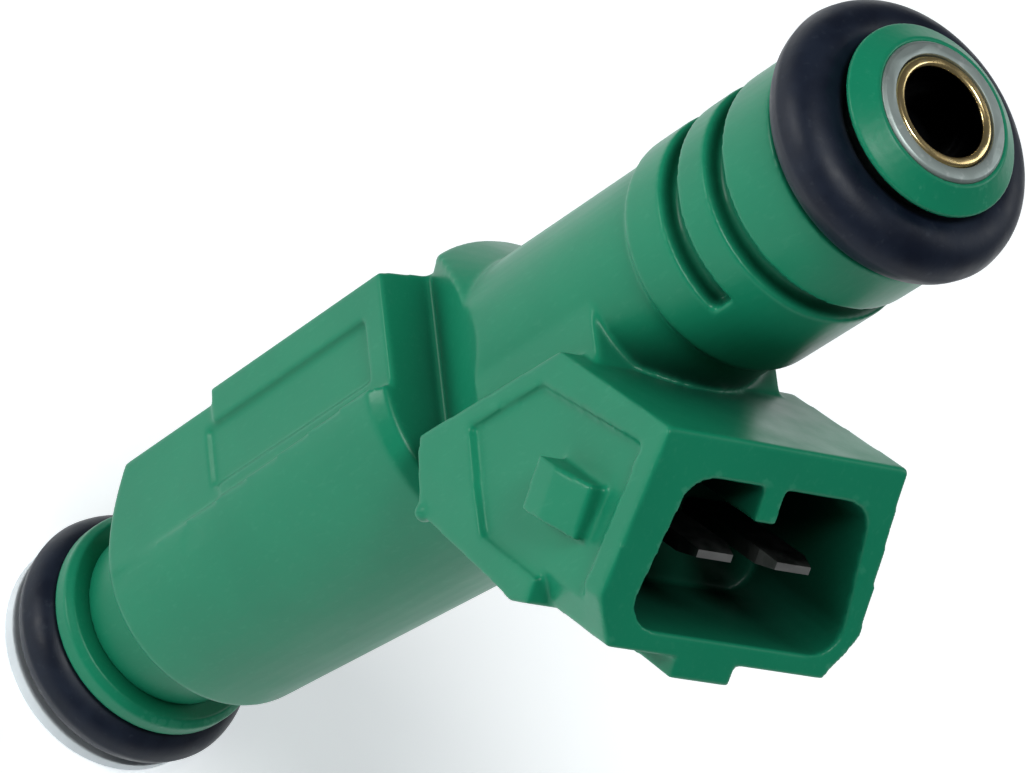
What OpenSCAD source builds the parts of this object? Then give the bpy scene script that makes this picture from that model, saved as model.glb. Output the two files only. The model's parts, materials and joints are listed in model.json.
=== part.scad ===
// Port fuel injector: solenoid valve in a moulded plastic housing.
// Z runs along the valve's axis, outlet tip at z = 0 and fuel inlet at the top.
// The electrical socket leans from the axis towards +X. Lengths in millimetres.

/* [Overall] */
// Length from the tip cap's face to the inlet tube's end
total_length = 75; // [72:0.5:92]
// Facets of round shapes
facets = 72; // [32:4:120]

/* [Seals] */
// Outer radius of both O-rings
seal_r = 7.3; // [7.1:0.05:8.8]
// Section diameter of both O-rings
seal_section = 3.56; // [3.2:0.02:3.7]

/* [Tip] */
// Radius of the end cap
cap_r = 6.9; // [6.4:0.05:7.2]
// Thickness of the end cap
cap_t = 1.05; // [0.9:0.05:1.5]
// Radius of the spray opening in the end cap
spray_r = 2.6; // [2:0.1:2.8]
// Radius of the support ring behind the lower O-ring
support_r = 6.45; // [6:0.05:7]
// Thickness of the support ring
support_t = 1.6; // [1.2:0.1:2.4]

/* [Housing] */
// Radius of the short waist above the support ring
waist_r = 5.2; // [4.8:0.1:5.8]
// Length of the waist
waist_len = 4.6; // [3.8:0.1:5.6]
// Radius of the body's rounded front at its lower end
front_low_r = 7.1; // [6.9:0.05:8.5]
// Radius of the body's rounded front at its upper end
front_top_r = 8.4; // [7.6:0.05:9.4]
// Half width between the body's flat sides
flat_half = 7.4; // [6.8:0.05:7.6]
// Plastic behind the coil can in the lower body
can_cover = 0.3; // [0.3:0.05:0.9]
// How far the lower body's back face is set in
back_step = 0.75; // [0.4:0.05:0.75]
// How far the lower body's flat sides are set in
side_step = 0.15; // [0.1:0.05:0.3]
// Length of the lower body
lower_body_len = 12.2; // [10:0.1:14]
// Length of the upper body
upper_body_len = 16.1; // [15:0.1:20]
// Radius of the collar above the body
collar_r = 8; // [7.5:0.1:8.5]
// Height of the collar's straight part
collar_len = 0.7; // [0.6:0.1:2.4]
// Height of the slope between collar and neck
collar_slope = 2.8; // [2:0.1:4]
// Radius of the neck
neck_r = 6; // [5.6:0.05:7.2]
// Radius of the grooved head above the neck
head_r = 6.4; // [6.1:0.05:7]
// Length of the grooved head
head_len = 11.6; // [9.8:0.1:14]

/* [Clip grooves] */
// Width of each clip groove
groove_w = 1.4; // [1:0.1:1.8]
// Depth of each clip groove
groove_depth = 1; // [0.6:0.1:1.4]
// Distance between the two grooves' middles
groove_pitch = 3.6; // [3:0.1:4.2]
// Distance from the head's end to the nearer groove's middle
groove_inset = 4.5; // [3.5:0.1:5.5]

/* [Socket] */
// Angle between the socket's axis and the valve's axis
socket_tilt = 43; // [38:1:50]
// Height of the socket's mouth
socket_h = 11.3; // [10.5:0.1:13.5]
// Half width of the socket at its lower side
socket_half = 8; // [7.2:0.1:8.8]
// How much narrower the socket's top is on each side
socket_taper = 0.65; // [0:0.05:0.9]
// Length of the socket's top face
socket_len = 10.6; // [9:0.1:12.8]
// Distance from the valve's axis to the socket's back plane
socket_x = 4.4; // [4:0.1:5]
// Depth of the cavity
cavity_depth = 8.5; // [7:0.1:9]
// Wall above the cavity
wall_top = 2.15; // [1.6:0.05:2.6]
// Wall below the cavity
wall_bottom = 1.1; // [0.9:0.05:1.6]
// Mean wall at the sides of the cavity
wall_side = 1.65; // [1.2:0.05:2.2]
// How much the cavity sits to the +Y side
cavity_shift = 0.5; // [0:0.1:0.6]

/* [Terminals] */
// Width of a terminal blade
blade_w = 2.8; // [2.2:0.1:3]
// Thickness of a terminal blade
blade_t = 0.8; // [0.6:0.1:1]
// Distance between the blades' middles
blade_pitch = 4.8; // [4.4:0.1:5.2]
// Distance from the socket's mouth back to the blades' tips
blade_recess = 0.5; // [0.4:0.1:3]

/* [Fuel tube] */
// Wall of the inlet tube
tube_wall = 0.75; // [0.6:0.05:0.85]
// Width of the retaining ring round the inlet tube
retainer_wall = 1.3; // [1:0.1:1.8]
// Inner radius of the filter's brass collar
filter_bore_r = 2.37; // [2:0.01:2.5]
// Length of the filter
filter_len = 16; // [12:0.5:18]

/* [Valve] */
// Bore radius of the guide sleeve that the armature slides in
guide_r = 2.85; // [2.7:0.05:3]
// Radial running clearance of the moving valve
run_gap = 0.05; // [0.02:0.01:0.08]
// Lift of the valve
lift = 0.08; // [0.05:0.01:0.1]
// Gap left at the pole when the valve is fully open
pole_gap = 0.02; // [0.01:0.01:0.04]
// Gap between ball and seat when the valve is closed
seat_gap = 0.01; // [0.005:0.005:0.02]
// Radius of the valve ball
ball_r = 1.75; // [1.6:0.05:1.9]
// Radius of the needle tube
needle_r = 1.45; // [1.3:0.05:1.5]
// Bore radius of the pole piece
pole_bore_r = 1.3; // [1.2:0.05:1.4]
// Wire diameter of the return spring
spring_wire = 0.28; // [0.2:0.02:0.34]
// Number of turns of the return spring
spring_turns = 9; // [7:1:11]

/* [Coil] */
// Outer radius of the steel can round the coil
can_r = 5.2; // [4.9:0.05:5.5]
// Wall of the steel can
can_wall = 0.5; // [0.45:0.05:0.7]
// Length of the steel can
can_len = 18; // [16:0.5:19]
// Wall and flange thickness of the bobbin
bobbin_wall = 0.5; // [0.4:0.05:0.7]

/* [Hidden] */
$fn = facets;
far = 60;                                   // reaches past every surface
eps = 0.01;                                 // overlap where solids are joined
touch = 0.02;                               // gap between an O-ring and its seat

// Seals
seal_c = seal_section / 2;                  // section radius
seal_mid = seal_r - seal_c;                 // radius of the section's centre
stem_r = seal_r - seal_section - touch;     // metal that the lower O-ring sits on
tube_r = stem_r - touch;                    // fuel tube that the upper O-ring sits on
retainer_r = tube_r + retainer_wall;

// Stations along the axis, from the tip up
z_seal_low = cap_t + seal_c;
z_support = z_seal_low + seal_c;
z_waist = z_support + support_t;
z_lower_body = z_waist + waist_len;
z_upper_body = z_lower_body + lower_body_len;
z_body_top = z_upper_body + upper_body_len;
z_collar = z_body_top + 0.9;
z_collar_top = z_collar + collar_len;
crease_x = 0.6;                             // where flat sides and round front meet
back_x = can_r + can_cover + back_step;     // back face of the upper body
low_end_r = waist_r + 1;                    // radius of the body's rounded lower end

// Stations from the inlet down
inlet_lip = 0.7;                            // tube standing out past the retainer's edge
z_seal_up = total_length - 3.6;
z_head_top = z_seal_up - seal_c;
z_head = z_head_top - head_len;
z_retainer = z_seal_up + seal_c;

// Socket frame: c runs out of the mouth, d runs from its top to its bottom
mouth_c = [sin(socket_tilt), cos(socket_tilt)];
mouth_d = [cos(socket_tilt), -sin(socket_tilt)];
z_socket = z_collar + 1.5;                  // lower back corner of the socket
z_socket_top = z_socket + 11.4;             // upper back corner of the socket
mouth_top = [socket_x, z_socket_top] + socket_len * mouth_c;
mouth_bottom = mouth_top + socket_h * mouth_d;
function socket_at(c, d) = mouth_top + c * mouth_c + d * mouth_d;
socket_heel = socket_at(-16.6, socket_h - 0.2);
rim_c = -1.7;                               // back edge of the band round the mouth
saddle_half = neck_r - 0.3;
saddle_h = z_socket_top + 0.9 - z_collar;
// Terminals
blade_d = wall_top + (socket_h - wall_top - wall_bottom) / 2 - 0.1;
leg_w = 0.9;                                // each leg stands at its blade's inner edge
function blade_y(side) = cavity_shift + side * blade_pitch / 2;
function leg_y(side) = blade_y(side) - side * (blade_w - leg_w) / 2;

// Valve, from the tip up
z_plate = cap_t - 0.1;                      // lower face of the orifice plate
plate_t = 0.25;
z_seat = z_plate + plate_t;
seat_len = 4;
seat_r = stem_r - 0.62;
z_ball = z_seat + 3;
ball_touch = ball_r * cos(45);              // radius and drop of the sealing circle
outlet_r = 0.6;
z_sleeve = 12;
z_stem_top = z_sleeve + 3;
sleeve_wall = 0.3;
sleeve_r = guide_r + sleeve_wall;
z_armature = z_sleeve + 5;
z_pole = z_armature + 9;
armature_len = z_pole - z_armature - lift - pole_gap;
armature_r = guide_r - run_gap;
needle_bore = needle_r - 0.45;
z_spring = z_armature + 5;
z_spring_top = z_spring + 9;
spring_r = pole_bore_r - spring_wire / 2 - 0.1;

// Coil
z_can = z_stem_top - 2;
can_floor = 1;
z_can_top = z_can + can_len;
washer_t = 1;
z_washer_top = z_can_top + washer_t;
bobbin_r = can_r - can_wall - run_gap;
bobbin_in = sleeve_r + run_gap;
leg_x = sleeve_r + 0.05 + blade_t / 2;      // terminal leg's distance from the axis

// Fuel tube
tube_bore = tube_r - tube_wall;
z_tube = z_washer_top + 14;
socket_fit = 2;                             // length of the pole that the tube fits over
z_pole_top = z_tube + socket_fit;
filter_r = tube_bore - 0.07;
z_filter = total_length - filter_len;
collar_brass = 4.5;                         // length of the brass collar

// Ring with a bore, between two heights.
module ring(r_in, r_out, z0, z1) {
    rotate_extrude()
        translate([r_in, z0]) square([r_out - r_in, z1 - z0]);
}

// Solid of revolution from [radius, height] points.
module turned(points) {
    rotate_extrude() polygon(points);
}

// Plate standing in the XZ plane, centred on y = 0.
module xz_plate(points, width) {
    rotate([90, 0, 0])
        translate([0, 0, -width / 2]) linear_extrude(width) polygon(points);
}

module o_ring(z) {
    rotate_extrude() translate([seal_mid, z]) circle(r = seal_c);
}

// Flat sided back of the body, with a slightly bowed back face.
module back_section(side_in, back_in) {
    bow_r = 60;
    intersection() {
        translate([crease_x - far, side_in - flat_half])
            square([far, 2 * (flat_half - side_in)]);
        translate([bow_r - back_x + back_in, 0]) circle(r = bow_r, $fn = 4 * facets);
    }
}

// Round front of the body, which widens towards its upper end.
module body_front() {
    dome = 1;                               // height of the shoulder at the upper end
    difference() {
        turned([
            [0, z_lower_body], [front_low_r, z_lower_body],
            [front_top_r, z_body_top - dome], [front_top_r - dome * 0.6, z_body_top],
            [0, z_body_top]
        ]);
        translate([crease_x - eps - far, -far / 2, 0]) cube([far, far, total_length]);
    }
}

// Places children in the socket's frame: X runs down the mouth, Z out of it.
module in_socket() {
    translate([mouth_top[0], 0, mouth_top[1]]) rotate([0, socket_tilt, 0]) children();
}

// Wedge that a plug's wire clip snaps over, on one side of the socket.
module latch_wedge(side) {
    rise = 1;                               // height above the socket's side
    foot = 0.25;                            // height of the ramp's foot
    base = socket_half - 1;
    in_socket()
        mirror([0, side < 0 ? 1 : 0, 0])
            translate([4.4, 0, 0]) rotate([90, 0, 90]) linear_extrude(2.8)
                polygon([
                    [base, -7.1], [socket_half + rise, -7.1], [socket_half + rise, -5.4],
                    [socket_half + foot, -3.2], [base, -3.2]
                ]);
}

// Half section of the socket with tapered sides, from [down, across] corners.
module socket_section(inset, low_cut) {
    top_half = socket_half - socket_taper - inset;
    low_half = socket_half - inset;
    low = socket_h + far;
    polygon([
        [-far, -top_half], [0, -top_half], [socket_h - 2.4, -low_half],
        [socket_h, low_cut - low_half], [low, low_cut - low_half],
        [low, low_half - low_cut], [socket_h, low_half - low_cut],
        [socket_h - 2.4, low_half], [0, top_half], [-far, top_half]
    ]);
}

// Shallow panel sunk into the socket's sides, behind the band round its mouth.
module socket_panel() {
    depth = 0.4;
    x_back = socket_x + 1.15;
    difference() {
        xz_plate([
            [x_back, z_socket + 9.8], [x_back, z_socket + 4.1], [x_back + 6, z_socket + 4.3],
            socket_at(rim_c, 10.2), socket_at(rim_c, 1.5)
        ], far);
        in_socket()
            translate([0, 0, -far / 2]) linear_extrude(far) socket_section(depth, 0);
    }
}

// Outer shape of the socket, with the mouth's lower corners cut.
module socket_shell() {
    cut_c = -5.5;                           // where the corner cuts begin
    difference() {
        intersection() {
            xz_plate([
                [socket_x, z_socket], [socket_x, z_socket_top], mouth_top, mouth_bottom,
                socket_at(-5, socket_h), socket_at(-7, socket_h + 0.6),
                socket_at(-8.5, socket_h + 0.4), socket_heel
            ], 2 * socket_half);
            in_socket() {
                translate([0, 0, cut_c]) linear_extrude(far) socket_section(0, 1.4);
                translate([0, 0, -far]) linear_extrude(far + cut_c + eps)
                    socket_section(0, 0);
            }
        }
        socket_panel();
    }
}

// Points of a quarter circle that starts at an angle.
function corner_arc(centre, r, start) = [
    for (a = [0:22.5:90]) centre + r * [cos(start + a), sin(start + a)]
];

// Cavity that the plug goes into, with the keying rib left standing.
module socket_cavity() {
    rib_w = 1.25;
    rib_h = 1.8;
    r = 1.6;
    low_in = socket_half - wall_side - r;
    top_in = low_in - socket_taper;
    low = socket_h - wall_bottom;
    in_socket()
        translate([0, cavity_shift, -cavity_depth]) linear_extrude(far)
            difference() {
                polygon(concat(
                    corner_arc([wall_top + r, -top_in], r, 180),
                    corner_arc([low - r, -low_in], r, 270),
                    corner_arc([low - r, low_in], r, 0),
                    corner_arc([wall_top + r, top_in], r, 90)
                ));
                translate([wall_top - 1, -rib_w / 2 - cavity_shift])
                    square([rib_h + 1, rib_w]);
            }
}

// One terminal: blade in the socket, slanted run and leg down to the coil.
module terminal(side) {
    half_t = blade_t / 2;
    tip = socket_at(-blade_recess, blade_d);
    bend = tip - (tip[0] - leg_x) / mouth_c[0] * mouth_c;
    taper = 1.2;                            // length of the tapered tip
    tip_w = blade_w - 0.7;
    outline = [
        bend - half_t * mouth_d, tip - taper * mouth_c - half_t * mouth_d,
        tip - half_t / 2 * mouth_d, tip + half_t / 2 * mouth_d,
        tip - taper * mouth_c + half_t * mouth_d, bend + half_t * mouth_d,
        [leg_x + half_t, bend[1] - 1], [leg_x + half_t, z_can_top],
        [leg_x - half_t, z_can_top], [leg_x - half_t, bend[1]]
    ];
    intersection() {
        translate([0, blade_y(side), 0]) xz_plate(outline, blade_w);
        union() {
            translate([0, -far / 2, bend[1] + 2]) cube(far);
            translate([0, leg_y(side) - leg_w / 2, z_can_top - 1])
                cube([far, leg_w, bend[1] + 4 - z_can_top]);
        }
        translate([tip[0], blade_y(side), tip[1]])
            rotate([0, socket_tilt + 90, 0])
                translate([0, 0, -far / 2]) linear_extrude(far)
                    polygon([
                        [0, -tip_w / 2], [taper, -blade_w / 2], [far, -blade_w / 2],
                        [far, blade_w / 2], [taper, blade_w / 2], [0, tip_w / 2]
                    ]);
    }
}

// Groove for the rail clip: all round, or open to a front bridge.
module clip_groove(z, bridged) {
    bridge_angle = 37;                      // half angle of the uncut front
    difference() {
        ring(head_r - groove_depth, far / 2, z - groove_w / 2, z + groove_w / 2);
        if (bridged)
            translate([0, 0, z - groove_w])
                linear_extrude(2 * groove_w)
                    polygon([
                        [0, 0], [far, -far * tan(bridge_angle)],
                        [far, far * tan(bridge_angle)]
                    ]);
    }
}

// Shallow panel sunk into one flat side of the body.
module side_panel(side) {
    depth = 0.4;
    panel = [3.4, 2, 15.2];
    mirror([0, side < 0 ? 1 : 0, 0])
        translate([-3.8, flat_half - depth, z_body_top - 1.8 - panel[2]]) cube(panel);
}

// Collar with its slope, neck and head.
module collar_and_neck() {
    turned([
        [0, z_body_top - 3], [front_top_r - 1, z_body_top - 1],
        [front_top_r - 1, z_body_top + 0.4],
        [collar_r, z_collar + 0.3], [collar_r, z_collar_top],
        [neck_r, z_collar_top + collar_slope], [neck_r, z_head - 0.4], [head_r, z_head],
        [head_r, z_head_top], [0, z_head_top]
    ]);
}

// Hollow between the body's top and the neck, on one side.
module side_hollow(side) {
    hollow_y = 4.2;                         // half width of the collar that is left
    z_flare = z_body_top + 6;
    mirror([0, side < 0 ? 1 : 0, 0])
        rotate([90, 0, 90]) translate([0, 0, -far / 2]) linear_extrude(far)
            polygon([
                [hollow_y, z_body_top], [far, z_body_top], [far, z_flare],
                [neck_r + 0.1, z_flare]
            ]);
}

module housing_outside() {
    nub_r = 0.55;
    cylinder(r = waist_r, h = z_lower_body + 1);
    intersection() {
        union() {
            translate([0, 0, z_lower_body])
                linear_extrude(lower_body_len + eps) back_section(side_step, back_step);
            translate([0, 0, z_upper_body])
                linear_extrude(upper_body_len) back_section(0, 0);
            body_front();
        }
        // rounds off the lower end
        turned([
            [0, z_lower_body], [low_end_r, z_lower_body], [low_end_r + 0.7, z_lower_body + 0.4],
            [low_end_r + 1.2, z_lower_body + 1.2], [low_end_r + 3, z_lower_body + 4],
            [far, z_lower_body + 4], [far, total_length], [0, total_length]
        ]);
    }
    difference() {
        union() {
            collar_and_neck();
            // saddle between the neck and the socket's back
            translate([0, -saddle_half, z_collar])
                cube([socket_x + 1, 2 * saddle_half, saddle_h]);
        }
        side_hollow(1);
        side_hollow(-1);
    }
    socket_shell();
    latch_wedge(1);
    latch_wedge(-1);
    // lug below the mouth, and a nub on each lower back corner of the socket
    in_socket() translate([socket_h - 1, -2.4, -4]) cube([2.1, 3.6, 4]);
    for (side = [-1, 1])
        translate([socket_heel[0], side * (socket_half - nub_r / 2), socket_heel[1] + 0.2])
            sphere(r = nub_r);
}

module housing() {
    color([0.24, 0.59, 0.43])
        difference() {
            housing_outside();
            translate([0, 0, -eps]) cylinder(r = far / 2, h = z_waist + eps);
            cylinder(r = stem_r, h = z_can + eps);
            translate([0, 0, z_can]) cylinder(r = can_r, h = z_washer_top - z_can);
            cylinder(r = guide_r, h = z_tube + eps);
            translate([0, 0, z_tube]) cylinder(r = tube_r, h = far);
            clip_groove(z_head_top - groove_inset, false);
            clip_groove(z_head_top - groove_inset - groove_pitch, true);
            side_panel(1);
            side_panel(-1);
            socket_cavity();
            terminal(1);
            terminal(-1);
        }
}

module upper_o_ring() {
    color([0.12, 0.15, 0.22]) o_ring(z_seal_up);
}

module lower_o_ring() {
    color([0.12, 0.15, 0.22]) o_ring(z_seal_low);
}

module inlet_retainer() {
    z_edge = total_length - inlet_lip;
    color([0.24, 0.59, 0.43])
        turned([
            [tube_r, z_retainer], [retainer_r - 0.7, z_retainer],
            [retainer_r, z_retainer + 0.6], [retainer_r, z_edge - 0.3],
            [retainer_r - 0.4, z_edge], [tube_r + 0.2, total_length - 0.15],
            [tube_r, total_length - 0.15]
        ]);
}

module inlet_tube() {
    lip = 0.15;
    color([0.62, 0.68, 0.66])
        turned([
            [tube_bore, z_tube], [tube_r, z_tube], [tube_r, total_length - lip],
            [tube_r - lip, total_length], [tube_bore, total_length]
        ]);
}

module filter_collar() {
    color([0.8, 0.68, 0.38])
        turned([
            [filter_bore_r, total_length - collar_brass], [filter_r, total_length - collar_brass],
            [filter_r, total_length - 0.12], [filter_r - 0.12, total_length],
            [filter_bore_r + 0.12, total_length], [filter_bore_r, total_length - 0.12]
        ]);
}

module filter_frame() {
    z_top = total_length - collar_brass;
    rib = 0.7;
    color([0.2, 0.2, 0.21]) {
        ring(filter_bore_r - 0.3, filter_r, z_top - 1, z_top);
        difference() {
            cylinder(r = filter_bore_r, h = z_filter + 1.2);
            translate([0, 0, -eps]) cylinder(r = far, h = z_filter);
        }
        intersection() {
            ring(filter_bore_r - 0.3, filter_bore_r, z_filter, z_top - 1 + eps);
            for (a = [0, 60, 120])
                rotate(a) translate([-far / 2, -rib / 2, 0]) cube([far, rib, total_length]);
        }
    }
}

module filter_mesh() {
    color([0.75, 0.75, 0.72])
        ring(filter_bore_r - 0.4, filter_bore_r - 0.3, z_filter + 1.2,
            total_length - collar_brass - 1);
}

module support_ring() {
    color([0.24, 0.59, 0.43])
        turned([
            [stem_r, z_support], [support_r - 0.2, z_support], [support_r, z_support + 0.3],
            [support_r, z_waist - 0.4], [support_r - 0.4, z_waist], [stem_r, z_waist]
        ]);
}

module tip_cap() {
    rim = 0.25;
    z_step = cap_t - 0.5;                   // floor that the valve body stands on
    color([0.75, 0.78, 0.8])
        turned([
            [spray_r, 0], [cap_r - rim, 0], [cap_r, rim], [cap_r, cap_t],
            [stem_r, cap_t], [stem_r, z_step], [spray_r, z_step]
        ]);
}

module terminal_left() {
    color([0.7, 0.7, 0.68]) terminal(-1);
}

module terminal_right() {
    color([0.7, 0.7, 0.68]) terminal(1);
}

module pole_piece() {
    color([0.55, 0.56, 0.58])
        turned([
            [pole_bore_r, z_pole], [guide_r, z_pole], [guide_r, z_tube], [tube_bore, z_tube],
            [tube_bore, z_pole_top], [pole_bore_r + 0.5, z_pole_top],
            [pole_bore_r, z_pole_top - 0.5]
        ]);
}

module adjusting_sleeve() {
    slit = 0.3;
    color([0.7, 0.7, 0.72])
        difference() {
            ring(pole_bore_r - 0.5, pole_bore_r, z_spring_top, z_spring_top + 9);
            translate([0, -slit / 2, 0]) cube([far, slit, far]);
        }
}

// Points of one spring section, and the coil swept along them.
function spring_ring(turn, height) = [
    for (i = [0:7])
        let (a = 360 * turn, b = 45 * i, r = spring_r + spring_wire / 2 * cos(b))
            [r * cos(a), r * sin(a), height + spring_wire / 2 * sin(b)]
];
module return_spring() {
    per_turn = 16;
    count = spring_turns * per_turn;
    low = z_spring + spring_wire / 2 + touch;
    rise = z_spring_top - z_spring - spring_wire - 2 * touch;
    points = [
        for (k = [0:count]) each spring_ring(k / per_turn, low + rise * k / count)
    ];
    sides = [
        for (k = [0:count - 1], i = [0:7])
            [8 * k + i, 8 * k + (i + 1) % 8, 8 * (k + 1) + (i + 1) % 8, 8 * (k + 1) + i]
    ];
    color([0.72, 0.73, 0.75])
        polyhedron(
            points,
            concat(sides, [[for (i = [7:-1:0]) i]], [[for (i = [0:7]) 8 * count + i]])
        );
}

module armature() {
    vent_r = 0.4;
    color([0.6, 0.6, 0.62])
        difference() {
            turned([
                [needle_r, z_armature], [armature_r, z_armature],
                [armature_r, z_armature + armature_len], [pole_bore_r, z_armature + armature_len],
                [pole_bore_r, z_spring], [needle_bore, z_spring],
                [needle_bore, z_armature + 2.5], [needle_r, z_armature + 2.5]
            ]);
            for (a = [0, 180])
                rotate(a) translate([0, 0, z_armature + 3.8])
                    rotate([0, 90, 0]) cylinder(r = vent_r, h = far);
        }
}

module needle_tube() {
    vent_r = 0.5;
    color([0.68, 0.69, 0.7])
        difference() {
            ring(needle_bore, needle_r, z_ball + 0.6, z_armature + 2.5);
            translate([0, 0, z_ball]) sphere(r = ball_r);
            for (k = [0:2])
                rotate(90 * k) translate([0, 0, z_ball + 3.5 + 2 * k])
                    rotate([0, 90, 0]) cylinder(r = vent_r, h = far);
        }
}

module valve_ball() {
    color([0.8, 0.8, 0.82]) translate([0, 0, z_ball]) sphere(r = ball_r);
}

module guide_sleeve() {
    color([0.66, 0.67, 0.68]) ring(guide_r, sleeve_r, z_sleeve, z_washer_top);
}

module valve_body() {
    z_foot = cap_t - 0.5;
    throat_r = 2.3;
    color([0.6, 0.61, 0.62])
        turned([
            [seat_r, z_foot], [stem_r, z_foot], [stem_r, z_stem_top], [sleeve_r, z_stem_top],
            [sleeve_r, z_sleeve], [throat_r, z_sleeve], [throat_r, z_seat + seat_len],
            [seat_r, z_seat + seat_len]
        ]);
}

module valve_seat() {
    drop = seat_gap * sqrt(2);              // moves the cone back by the closed gap
    z_touch = z_ball - ball_touch - drop;
    bore_r = ball_r + 0.03;
    channels = 4;
    color([0.7, 0.7, 0.72])
        difference() {
            turned([
                [outlet_r, z_seat], [seat_r, z_seat], [seat_r, z_seat + seat_len],
                [bore_r, z_seat + seat_len], [bore_r, z_touch + bore_r - ball_touch],
                [outlet_r, z_touch + outlet_r - ball_touch]
            ]);
            for (k = [0:channels - 1])
                rotate(45 + 360 / channels * k) translate([bore_r, 0, z_ball])
                    cylinder(r = 0.45, h = far);
        }
}

module orifice_plate() {
    hole_r = 0.15;
    color([0.78, 0.78, 0.8])
        difference() {
            translate([0, 0, z_plate]) cylinder(r = seat_r - 0.2, h = plate_t);
            for (a = [45:90:315])
                rotate(a) translate([outlet_r - 0.2, 0, 0]) cylinder(r = hole_r, h = far);
        }
}

module coil_bobbin() {
    z0 = z_stem_top;
    color([0.85, 0.82, 0.7])
        turned([
            [bobbin_in, z0], [bobbin_r, z0], [bobbin_r, z0 + bobbin_wall],
            [bobbin_in + bobbin_wall, z0 + bobbin_wall],
            [bobbin_in + bobbin_wall, z_can_top - bobbin_wall],
            [bobbin_r, z_can_top - bobbin_wall], [bobbin_r, z_can_top], [bobbin_in, z_can_top]
        ]);
}

module coil_winding() {
    color([0.7, 0.35, 0.15])
        ring(bobbin_in + bobbin_wall, bobbin_r - 0.1, z_stem_top + bobbin_wall,
            z_can_top - bobbin_wall);
}

module coil_can() {
    color([0.55, 0.56, 0.57])
        turned([
            [stem_r, z_can], [can_r, z_can], [can_r, z_can_top], [can_r - can_wall, z_can_top],
            [can_r - can_wall, z_can + can_floor], [stem_r, z_can + can_floor]
        ]);
}

module flux_washer() {
    slot_gap = 0.15;                        // clearance of each terminal leg
    color([0.55, 0.56, 0.57])
        difference() {
            ring(sleeve_r, can_r, z_can_top, z_washer_top);
            for (side = [-1, 1])
                translate([
                    leg_x - blade_t / 2 - slot_gap, leg_y(side) - leg_w / 2 - slot_gap, 0
                ])
                    cube([blade_t + 2 * slot_gap, leg_w + 2 * slot_gap, far]);
        }
}

housing();
upper_o_ring();
lower_o_ring();
inlet_retainer();
inlet_tube();
filter_collar();
filter_frame();
filter_mesh();
support_ring();
tip_cap();
terminal_left();
terminal_right();
pole_piece();
adjusting_sleeve();
return_spring();
armature();
needle_tube();
valve_ball();
guide_sleeve();
valve_body();
valve_seat();
orifice_plate();
coil_bobbin();
coil_winding();
coil_can();
flux_washer();
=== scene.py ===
"""Port fuel injector: moulded surfaces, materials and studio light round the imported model."""
import json
import math

import bmesh
import bpy
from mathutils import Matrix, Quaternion, Vector


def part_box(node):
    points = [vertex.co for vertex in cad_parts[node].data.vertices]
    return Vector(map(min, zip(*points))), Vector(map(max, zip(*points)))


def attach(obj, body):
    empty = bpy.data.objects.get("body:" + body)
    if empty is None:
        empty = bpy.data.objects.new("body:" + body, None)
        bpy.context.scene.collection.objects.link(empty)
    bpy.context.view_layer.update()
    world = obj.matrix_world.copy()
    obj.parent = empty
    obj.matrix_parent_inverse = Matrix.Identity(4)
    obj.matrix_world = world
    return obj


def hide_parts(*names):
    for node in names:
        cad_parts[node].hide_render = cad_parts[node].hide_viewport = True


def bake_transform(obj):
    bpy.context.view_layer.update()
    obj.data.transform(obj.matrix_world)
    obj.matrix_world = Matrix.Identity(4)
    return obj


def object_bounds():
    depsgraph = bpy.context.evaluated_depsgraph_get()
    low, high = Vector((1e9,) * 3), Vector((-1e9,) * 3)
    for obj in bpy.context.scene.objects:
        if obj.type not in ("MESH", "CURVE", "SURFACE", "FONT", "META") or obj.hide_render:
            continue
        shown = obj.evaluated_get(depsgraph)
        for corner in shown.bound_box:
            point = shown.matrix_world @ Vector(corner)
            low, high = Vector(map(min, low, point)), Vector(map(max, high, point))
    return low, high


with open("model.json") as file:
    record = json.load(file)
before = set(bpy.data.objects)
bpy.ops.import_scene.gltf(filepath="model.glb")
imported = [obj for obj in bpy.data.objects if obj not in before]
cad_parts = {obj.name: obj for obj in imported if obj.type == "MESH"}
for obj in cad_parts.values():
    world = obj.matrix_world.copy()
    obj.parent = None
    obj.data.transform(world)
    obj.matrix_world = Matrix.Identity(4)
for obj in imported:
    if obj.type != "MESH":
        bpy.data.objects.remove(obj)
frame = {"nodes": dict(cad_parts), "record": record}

MM = 0.001
AXIS_MIDDLE = 40 * MM          # height of the part's middle, which the lights face
BODY = "injector_body"
NODES = frame["nodes"]
cad_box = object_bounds()

# ---------------------------------------------------------------- node helpers


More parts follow.
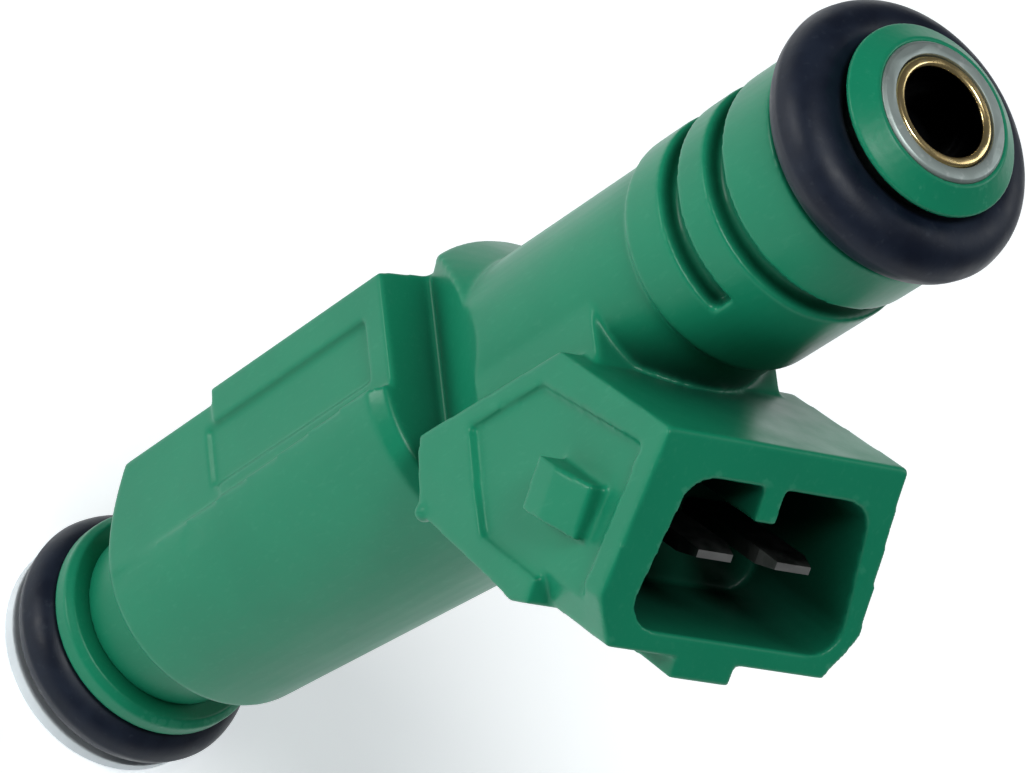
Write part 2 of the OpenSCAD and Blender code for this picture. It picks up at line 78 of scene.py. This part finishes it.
class Shader:
    """A material with a Principled shader, and short calls for its texture nodes."""

    def __init__(self, name, **settings):
        self.material = bpy.data.materials.new(name)
        self.material.use_nodes = True
        self.tree = self.material.node_tree
        self.surface = self.tree.nodes["Principled BSDF"]
        for key, value in settings.items():
            self.surface.inputs[key.replace("_", " ")].default_value = value
        self.place = self.node("TexCoord").outputs["Object"]

    def node(self, kind, **settings):
        made = self.tree.nodes.new("ShaderNode" + kind)
        for key, value in settings.items():
            setattr(made, key, value)
        return made

    def join(self, value, socket):
        """Sets a socket to a number or colour, or links it to another node's output."""
        if isinstance(value, bpy.types.NodeSocket):
            self.tree.links.new(value, socket)
        else:
            socket.default_value = value

    def noise(self, size, detail=3.0, place=None, stretch=(1, 1, 1)):
        """Noise whose features are about size metres across."""
        turned = self.node("Mapping")
        turned.inputs["Scale"].default_value = stretch
        self.join(place or self.place, turned.inputs["Vector"])
        made = self.node("TexNoise")
        made.inputs["Scale"].default_value = 1 / size
        made.inputs["Detail"].default_value = detail
        self.join(turned.outputs["Vector"], made.inputs["Vector"])
        return made.outputs["Fac"]

    def span(self, value, low, high, to_low=0.0, to_high=1.0):
        """A value's stretch from low to high, spread over another range."""
        made = self.node("MapRange")
        for socket, part in zip(made.inputs, (value, low, high, to_low, to_high)):
            self.join(part, socket)
        return made.outputs["Result"]

    def math(self, kind, a, b=0.0):
        made = self.node("Math", operation=kind)
        self.join(a, made.inputs[0])
        self.join(b, made.inputs[1])
        return made.outputs["Value"]

    def mix(self, share, a, b):
        made = self.node("MixRGB")
        for socket, part in zip(made.inputs, (share, a, b)):
            self.join(part, socket)
        return made.outputs["Color"]

    def bump(self, height, depth, under=None):
        """Bump of depth metres for a height from 0 to 1, over another bump."""
        made = self.node("Bump")
        made.inputs["Strength"].default_value = 1.0
        made.inputs["Distance"].default_value = depth
        self.join(height, made.inputs["Height"])
        if under:
            self.join(under, made.inputs["Normal"])
        return made.outputs["Normal"]

    def recess_shade(self, reach, low, high, most, own=False):
        """Share of painted shade where surfaces within reach close a place in, or only its own.
        """
        made = self.node("AmbientOcclusion", samples=12, only_local=own)
        made.inputs["Distance"].default_value = reach
        return self.span(made.outputs["AO"], low, high, most, 0)

    def lathe_place(self):
        """Distance from the axis and height, for marks that run round a turned part."""
        parts = self.node("SeparateXYZ")
        self.join(self.place, parts.inputs[0])
        flat = self.node("CombineXYZ")
        self.join(parts.outputs["X"], flat.inputs["X"])
        self.join(parts.outputs["Y"], flat.inputs["Y"])
        length = self.node("VectorMath", operation="LENGTH")
        self.join(flat.outputs[0], length.inputs[0])
        made = self.node("CombineXYZ")
        self.join(length.outputs["Value"], made.inputs["X"])
        self.join(parts.outputs["Z"], made.inputs["Y"])
        return made.outputs[0]

    def finish(self, colour, roughness, normal):
        self.join(colour, self.surface.inputs["Base Color"])
        self.join(roughness, self.surface.inputs["Roughness"])
        self.join(normal, self.surface.inputs["Normal"])
        return self.material


def rgb(red, green, blue):
    return (red, green, blue, 1.0)


# ------------------------------------------------------------------- materials


def moulded_plastic(name, colour, pale, dark, roughness, worn=0.5, painted_shade=0.9):
    """Glass-filled plastic: cloudy colour, fine fibres, faint flow marks, rubbed edges, painted
    shade in its own recesses.
    """
    s = Shader(name, Specular_IOR_Level=0.22)
    cloud = s.span(s.noise(7 * MM, 4), 0.35, 0.65)
    fibre = s.noise(0.25 * MM, 2, stretch=(1, 1, 0.35))
    flow = s.noise(2.2 * MM, 3, stretch=(1, 1, 0.25))
    base = s.mix(s.math("MULTIPLY", cloud, 0.5), colour, dark)
    base = s.mix(s.span(fibre, 0.58, 0.8, 0, 0.10), base, pale)
    edge = s.span(s.node("NewGeometry").outputs["Pointiness"], 0.53, 0.62)
    rub = s.math("MULTIPLY", edge, s.span(s.noise(1.5 * MM, 3), 0.35, 0.6, 0.4, 1))
    base = s.mix(s.math("MULTIPLY", rub, worn), base, pale)
    # Painted shade: the colour goes to near-black green where the part's own surfaces close a
    # place in.
    base = s.mix(s.recess_shade(14 * MM, 0.15, 0.7, painted_shade, True), base, rgb(0.003, 0.02, 0.014))
    rough = s.span(flow, 0.3, 0.7, roughness - 0.05, roughness + 0.06)
    normal = s.bump(fibre, 0.004 * MM)
    normal = s.bump(flow, 0.010 * MM, normal)
    return s.finish(base, rough, normal)


def seal_rubber(name):
    """Smooth moulded rubber with a thin film of oil and a little dust."""
    s = Shader(name, Specular_IOR_Level=0.22)
    film = s.span(s.noise(1.8 * MM, 4), 0.35, 0.65)
    grain = s.noise(0.12 * MM, 2)
    dust = s.span(s.noise(0.5 * MM, 4), 0.62, 0.75, 0, 0.06)
    base = s.mix(film, rgb(0.005, 0.008, 0.018), rgb(0.009, 0.014, 0.028))
    base = s.mix(dust, base, rgb(0.16, 0.18, 0.20))
    rough = s.span(film, 0, 1, 0.36, 0.5)
    normal = s.bump(grain, 0.004 * MM)
    normal = s.bump(s.noise(1.1 * MM, 2), 0.02 * MM, normal)
    return s.finish(base, rough, normal)


def turned_metal(name, colour, dark, roughness, groove=0.004 * MM, wear=0.25, bore_shade_depth=0):
    """Metal turned on a lathe: fine rings, slight tarnish, a few brighter rubbed spots.

    With a depth given as the last argument, what lies deeper than that below the inlet is
    painted near black as the shade inside the bore."""
    s = Shader(name, Metallic=1.0)
    rings = s.noise(0.09 * MM, 2, s.lathe_place())
    tarnish = s.span(s.noise(1.6 * MM, 4), 0.4, 0.7)
    rubbed = s.span(s.noise(0.6 * MM, 3), 0.6, 0.72)
    base = s.mix(s.math("MULTIPLY", tarnish, 0.55), colour, dark)
    base = s.mix(s.math("MULTIPLY", rubbed, wear), base, rgb(0.86, 0.86, 0.84))
    rough = s.span(tarnish, 0, 1, roughness - 0.05, roughness + 0.1)
    # Painted shade: below the inlet the colour goes near black, as inside the bore.
    if bore_shade_depth:
        height = s.node("SeparateXYZ")
        s.join(s.place, height.inputs[0])
        top = cad_box[1].z
        bore_shade_share = s.span(height.outputs["Z"], top - bore_shade_depth, top - 2 * bore_shade_depth)
        base = s.mix(bore_shade_share, base, rgb(0.012, 0.014, 0.018))
    return s.finish(base, rough, s.bump(rings, groove))


def rolled_metal(name, colour, dark, roughness, cavity_shade=0):
    """Plated or drawn metal with fine lines along its length.

    The last argument is the share of painted shade, near black, on what lies deep in a cavity."""
    s = Shader(name, Metallic=1.0)
    lines = s.noise(0.05 * MM, 2, stretch=(0.3, 1, 0.3))
    blotch = s.span(s.noise(0.9 * MM, 4), 0.4, 0.65)
    base = s.mix(blotch, colour, dark)
    # Painted shade: deep in a cavity the colour goes near black.
    if cavity_shade:
        base = s.mix(s.recess_shade(5 * MM, 0.5, 0.95, cavity_shade), base, rgb(0.012, 0.013, 0.014))
    rough = s.span(blotch, 0, 1, roughness - 0.04, roughness + 0.12)
    return s.finish(base, rough, s.bump(lines, 0.001 * MM))


def woven_gauze(name):
    """Fine steel weave of the inlet filter, as crossing waves."""
    s = Shader(name, Metallic=1.0)
    waves = []
    for direction in ("Z", "DIAGONAL"):
        wave = s.node("TexWave", bands_direction=direction)
        wave.inputs["Scale"].default_value = 1 / (0.6 * MM)
        s.join(s.place, wave.inputs["Vector"])
        waves.append(wave.outputs["Fac"])
    height = s.math("MAXIMUM", *waves)
    base = s.mix(height, rgb(0.12, 0.12, 0.11), rgb(0.55, 0.55, 0.52))
    return s.finish(base, s.span(height, 0, 1, 0.6, 0.35), s.bump(height, 0.03 * MM))


def copper_winding(name):
    """Turns of enamelled wire lying side by side along the coil."""
    s = Shader(name, Metallic=1.0)
    wave = s.node("TexWave", bands_direction="Z")
    wave.inputs["Scale"].default_value = 1 / (1.5 * MM)
    wave.inputs["Distortion"].default_value = 0.4
    s.join(s.place, wave.inputs["Vector"])
    turns = wave.outputs["Fac"]
    base = s.mix(turns, rgb(0.18, 0.05, 0.015), rgb(0.62, 0.25, 0.09))
    base = s.mix(s.span(s.noise(0.8 * MM), 0.45, 0.7, 0, 0.3), base, rgb(0.75, 0.40, 0.16))
    return s.finish(base, s.span(turns, 0, 1, 0.5, 0.28), s.bump(turns, 0.05 * MM))


def pale_floor(name):
    """Matt white studio table with the faintest grain."""
    s = Shader(name, Specular_IOR_Level=0.15)
    grain = s.noise(1.2 * MM, 2)
    base = s.mix(grain, rgb(0.86, 0.87, 0.87), rgb(0.90, 0.90, 0.90))
    s.surface.inputs["Emission Color"].default_value = rgb(0.93, 0.97, 1.0)
    s.surface.inputs["Emission Strength"].default_value = 0.5
    return s.finish(base, 0.85, s.bump(grain, 0.01 * MM))


def make_materials():
    """One material for each of the record's slots."""
    return {
        "housing_plastic": moulded_plastic(
            "green_nylon", rgb(0.008, 0.225, 0.116), rgb(0.10, 0.40, 0.26),
            rgb(0.006, 0.190, 0.100), 0.34, 0.2),
        "seal_rubber": seal_rubber("navy_rubber"),
        "cap_plastic": moulded_plastic(
            "grey_nylon", rgb(0.78, 0.83, 0.86), rgb(0.86, 0.89, 0.90),
            rgb(0.50, 0.55, 0.58), 0.45, 0.3, 0.15),
        "tube_steel": turned_metal(
            "tube_steel", rgb(0.40, 0.46, 0.44), rgb(0.31, 0.36, 0.34), 0.55),
        # The brass gets painted shade, near black, inside the bore below its top rim.
        "brass": turned_metal(
            "brass", rgb(0.90, 0.70, 0.34), rgb(0.60, 0.42, 0.18), 0.22, bore_shade_depth=0.12 * MM),
        "filter_plastic": moulded_plastic(
            "dark_nylon", rgb(0.030, 0.030, 0.032), rgb(0.08, 0.08, 0.08),
            rgb(0.020, 0.020, 0.021), 0.45, 0.2),
        "filter_gauze": woven_gauze("filter_gauze"),
        # The terminals get painted shade deep in the socket's cavity.
        "terminal_tin": rolled_metal(
            "terminal_tin", rgb(0.46, 0.46, 0.45), rgb(0.38, 0.38, 0.37), 0.42, 0.97),
        "core_steel": turned_metal(
            "core_steel", rgb(0.42, 0.43, 0.45), rgb(0.26, 0.26, 0.27), 0.36),
        "spring_steel": rolled_metal(
            "spring_steel", rgb(0.55, 0.56, 0.58), rgb(0.34, 0.35, 0.37), 0.3),
        "ball_steel": turned_metal(
            "ball_steel", rgb(0.78, 0.79, 0.80), rgb(0.62, 0.63, 0.65), 0.10, 0.0005 * MM),
        "seat_steel": turned_metal(
            "seat_steel", rgb(0.60, 0.60, 0.62), rgb(0.42, 0.42, 0.44), 0.26, 0.002 * MM),
        "bobbin_plastic": moulded_plastic(
            "bobbin_nylon", rgb(0.66, 0.62, 0.47), rgb(0.80, 0.77, 0.64),
            rgb(0.58, 0.53, 0.38), 0.5, 0.2),
        "winding_copper": copper_winding("winding_copper"),
    }


# ---------------------------------------------------------------------- pieces


def dress(obj, node):
    """Gives an object the one material of a CAD node's slot."""
    obj.data.materials.clear()
    obj.data.materials.append(materials[slots[node]])


def settle(piece, node):
    """Makes a finished, smooth shaded piece of the body stand for a CAD node."""
    dress(piece, node)
    piece.data.polygons.foreach_set("use_smooth", [True] * len(piece.data.polygons))
    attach(piece, BODY)
    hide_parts(node)


def add_piece(name, mesh):
    """New object with that mesh, linked into the scene."""
    piece = bpy.data.objects.new(name, mesh)
    bpy.context.scene.collection.objects.link(piece)
    return piece


def apply_modifiers(piece):
    """Makes what the modifiers show the piece's own mesh."""
    bpy.context.view_layer.update()
    graph = bpy.context.evaluated_depsgraph_get()
    piece.data = bpy.data.meshes.new_from_object(piece.evaluated_get(graph))
    piece.modifiers.clear()


def softened(node, name, voxel, passes):
    """Shows a CAD node as a copy of its surface with the small radii of a moulded edge."""
    piece = add_piece(name, NODES[node].data.copy())
    grid = piece.modifiers.new("grid", "REMESH")
    grid.mode = "VOXEL"
    grid.voxel_size = voxel
    smooth = piece.modifiers.new("smooth", "SMOOTH")
    smooth.factor = 0.5
    smooth.iterations = passes
    apply_modifiers(piece)
    settle(piece, node)


def lathe(name, profile, steps=160):
    """Closed ring swept from a loop of (radius, height) points."""
    mesh = bpy.data.meshes.new(name)
    count = len(profile)
    points, faces = [], []
    for i in range(steps):
        angle = 2 * math.pi * i / steps
        for radius, height in profile:
            points.append((radius * math.cos(angle), radius * math.sin(angle), height))
        for j in range(count):
            k = (j + 1) % count
            n = (i + 1) % steps
            faces.append((i * count + j, n * count + j, n * count + k, i * count + k))
    mesh.from_pydata(points, [], faces)
    mesh.update()
    return add_piece(name, mesh)


def o_ring(node, name):
    """Shows an O-ring with the thin flash line that its mould leaves."""
    low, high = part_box(node)
    section = (high.z - low.z) / 2
    middle = high.x - section
    height = (low.z + high.z) / 2
    flash = 0.035 * MM             # height of the line
    flash_width = 0.10             # half width of the line, as an angle in radians
    profile = []
    steps = 72
    for i in range(steps):
        angle = 2 * math.pi * i / steps
        away = min(abs(angle), abs(2 * math.pi - angle), abs(angle - math.pi))
        radius = section - flash + flash * math.exp(-((away / flash_width) ** 2))
        profile.append((middle + radius * math.cos(angle), height + radius * math.sin(angle)))
    settle(lathe(name, profile), node)


def crisp(node, name, width):
    """Shows a turned CAD node as a copy with small broken edges of that width."""
    same_point = 0.002 * MM
    flat, sharp_edge = math.radians(1), math.radians(35)
    piece = add_piece(name, NODES[node].data.copy())
    work = bmesh.new()
    work.from_mesh(piece.data)
    bmesh.ops.remove_doubles(work, verts=work.verts, dist=same_point)
    bmesh.ops.dissolve_limit(work, angle_limit=flat, verts=work.verts, edges=work.edges)
    sharp = [e for e in work.edges
             if len(e.link_faces) == 2 and e.calc_face_angle(0) > sharp_edge]
    bmesh.ops.bevel(work, geom=sharp, offset=width, segments=2, profile=0.5,
                    affect="EDGES", clamp_overlap=True)
    work.to_mesh(piece.data)
    work.free()
    settle(piece, node)


def sprung(node, name):
    """Shows a coil spring as a copy with its placement baked into its mesh."""
    piece = add_piece(name, NODES[node].data.copy())
    dress(piece, node)
    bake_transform(piece)
    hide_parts(node)


# ----------------------------------------------------------------------- stage


def make_floor():
    """Square table top that the part stands on."""
    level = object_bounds()[0].z
    half = 2.5
    mesh = bpy.data.meshes.new("floor")
    mesh.from_pydata([(-half, -half, level), (half, -half, level), (half, half, level),
                      (-half, half, level)], [], [(0, 1, 2, 3)])
    floor = add_piece("floor", mesh)
    floor.data.materials.append(pale_floor("pale_floor"))


def direction(azimuth, elevation):
    """Unit vector towards a place; azimuth 0 is -Y and 90 is +X, in degrees."""
    a, e = math.radians(azimuth), math.radians(elevation)
    return Vector((math.sin(a) * math.cos(e), -math.cos(a) * math.cos(e), math.sin(e)))


def make_camera():
    """Long lens that looks down on the inlet end, rolled so that the part lies aslant."""
    target = Vector((-0.15, -0.1, 39.9)) * MM
    back = direction(34.3, 46.6)
    distance = 0.3117
    roll = Quaternion((0, 0, 1), math.radians(56.9))
    data = bpy.data.cameras.new("camera")
    data.sensor_width = 36
    data.lens = 211.8
    data.clip_start = 0.01
    camera = bpy.data.objects.new("camera", data)
    bpy.context.scene.collection.objects.link(camera)
    camera.rotation_mode = "QUATERNION"
    camera.location = target + back * distance
    camera.rotation_quaternion = (-back).to_track_quat("-Z", "Y") @ roll
    bpy.context.scene.camera = camera


def soft_light(name, azimuth, elevation, distance, size, power, colour):
    """Round area light, facing the part from that side."""
    target = Vector((0, 0, AXIS_MIDDLE))
    data = bpy.data.lights.new(name, "AREA")
    data.shape = "DISK"
    data.size = size
    data.energy = power
    data.color = colour
    light = bpy.data.objects.new(name, data)
    bpy.context.scene.collection.objects.link(light)
    back = direction(azimuth, elevation)
    light.location = target + back * distance
    light.rotation_mode = "QUATERNION"
    light.rotation_quaternion = (-back).to_track_quat("-Z", "Y")


def make_light():
    """Three soft lights and a faint even glow."""
    soft_light("key", azimuth=-16, elevation=8, distance=0.6, size=0.18, power=1.25,
               colour=(1.0, 1.0, 0.98))
    soft_light("top", azimuth=20, elevation=72, distance=0.6, size=0.2, power=1.95,
               colour=(0.98, 1.0, 1.0))
    soft_light("back", azimuth=190, elevation=35, distance=0.8, size=0.4, power=1.2,
               colour=(0.95, 0.98, 1.0))
    world = bpy.data.worlds.new("studio")
    world.use_nodes = True
    background = world.node_tree.nodes["Background"]
    background.inputs["Color"].default_value = (0.95, 0.98, 1.0, 1)
    background.inputs["Strength"].default_value = 0.10
    bpy.context.scene.world = world


# ------------------------------------------------------------------------ main

slots = {s["node"]: s["material_slot"] for s in frame["record"]["subparts"]}
materials = make_materials()

softened("housing", "housing_shell", voxel=0.15 * MM, passes=8)
softened("support_ring", "support_ring_soft", voxel=0.09 * MM, passes=4)
softened("inlet_retainer", "inlet_retainer_soft", voxel=0.07 * MM, passes=4)
softened("tip_cap", "tip_cap_soft", voxel=0.08 * MM, passes=3)
o_ring("upper_o_ring", "upper_seal")
o_ring("lower_o_ring", "lower_seal")
crisp("inlet_tube", "inlet_tube_crisp", width=0.05 * MM)
crisp("filter_collar", "filter_collar_crisp", width=0.04 * MM)
sprung("return_spring", "return_spring_coil")

for node, cad in NODES.items():
    if not cad.hide_render:
        dress(cad, node)

make_floor()
make_camera()
make_light()
bpy.context.scene.view_settings.view_transform = "Standard"
